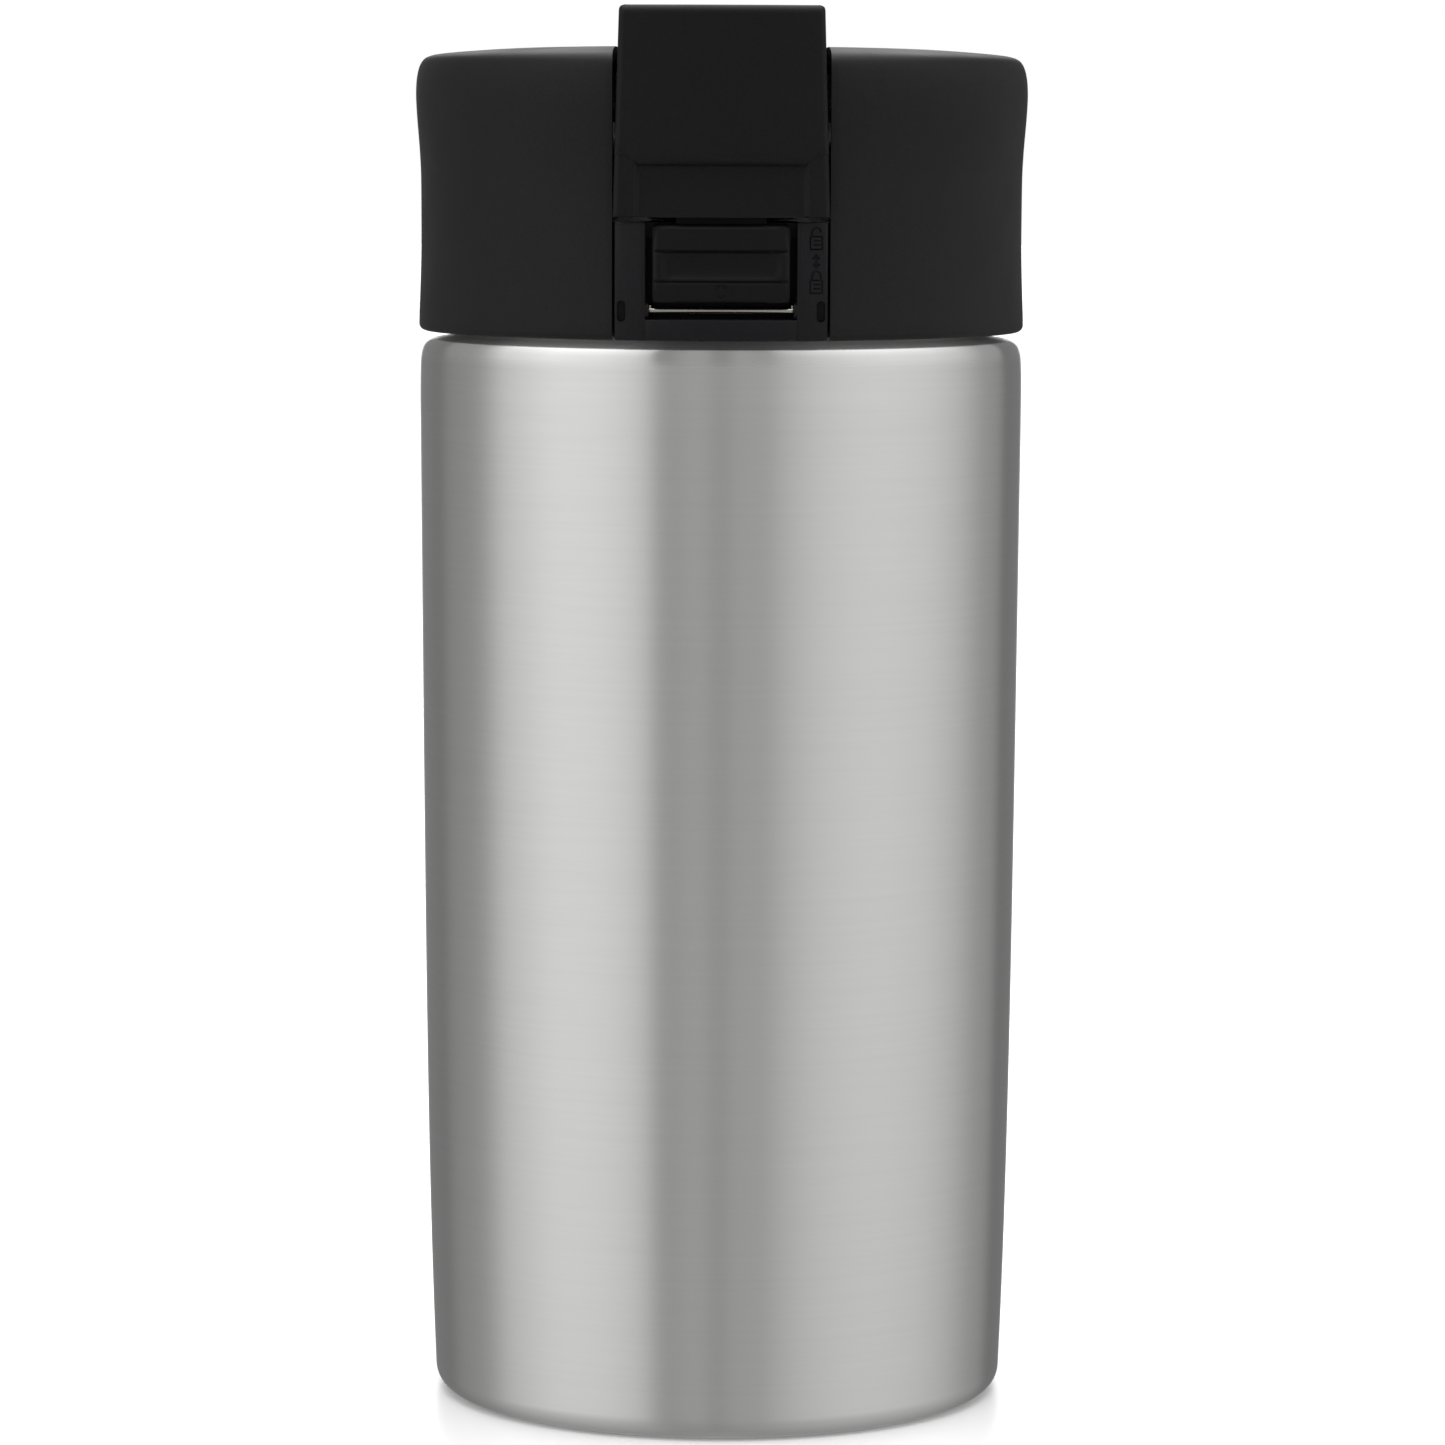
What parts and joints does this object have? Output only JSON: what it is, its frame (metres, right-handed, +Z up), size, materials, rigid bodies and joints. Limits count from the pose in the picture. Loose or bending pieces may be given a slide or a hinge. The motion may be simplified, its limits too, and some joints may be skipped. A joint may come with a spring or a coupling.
{
  "type": "insulated travel mug",
  "caption": "Double-wall steel travel mug with a screw lid, a flip cap over its drinking spout and a push latch with a sliding lock.",
  "frame": {"origin": "middle of the base, on the surface the mug stands on", "axes": "+Z up along the flask, -Y towards the latch, +X to the right seen from the latch side"},
  "size_m": [0.0704, 0.0724, 0.1602],
  "materials": {
    "brushed_steel": "brushed around the axis",
    "inner_steel": "electropolished",
    "bright_steel": "polished",
    "spring_steel": "drawn wire",
    "getter_metal": "sintered",
    "black_plastic": "fine spark texture",
    "dark_plastic": "smooth moulded",
    "silicone": "matte translucent"
  },
  "bodies": {
    "flask": {"outer_shell": "brushed_steel", "inner_liner": "inner_steel", "base_plate": "brushed_steel", "vacuum_seal": "bright_steel", "getter": "getter_metal"},
    "gasket": {"lid_gasket": "silicone"},
    "lid": {"lid_collar": "black_plastic", "lid_core": "dark_plastic", "lid_base": "dark_plastic", "mouthpiece": "dark_plastic", "latch_frame": "black_plastic", "latch_pin": "bright_steel", "hinge_pin": "bright_steel", "latch_spring": "spring_steel", "cap_spring": "spring_steel"},
    "flip_cap": {"cap_shell": "black_plastic", "cap_liner": "dark_plastic", "spout_stopper": "silicone", "vent_stopper": "silicone"},
    "latch": {"latch_rocker": "dark_plastic"},
    "lock": {"lock_slider": "black_plastic"}
  },
  "joints": [
    {"name": "lid_lift", "type": "slide", "parent": "flask", "child": "gasket", "axis": [0, 0, 1], "range_m": [0, 0.012]},
    {"name": "lid_turn", "type": "hinge", "parent": "gasket", "child": "lid", "pos_m": [0, 0, 0.12345], "axis": [0, 0, 1], "range_deg": [0, 540]},
    {"name": "cap_hinge", "type": "hinge", "parent": "lid", "child": "flip_cap", "pos_m": [0, 0.032, 0.15], "axis": [-1, 0, 0], "range_deg": [0, 105], "deforming": ["cap_spring"]},
    {"name": "latch_press", "type": "hinge", "parent": "lid", "child": "latch", "pos_m": [0, -0.03275, 0.12675], "axis": [-1, 0, 0], "range_deg": [0, 5.5], "stiffness_Nm_per_rad": 0.2, "springref_deg": -2.86, "deforming": ["latch_spring"]},
    {"name": "lock_slide", "type": "slide", "parent": "latch", "child": "lock", "axis": [0, 0, -1], "range_m": [0, 0.0015]}
  ],
  "couplings": [
    {"joint": "lid_lift", "follows": "lid_turn", "m_per_rad": 0.0012732}
  ]
}
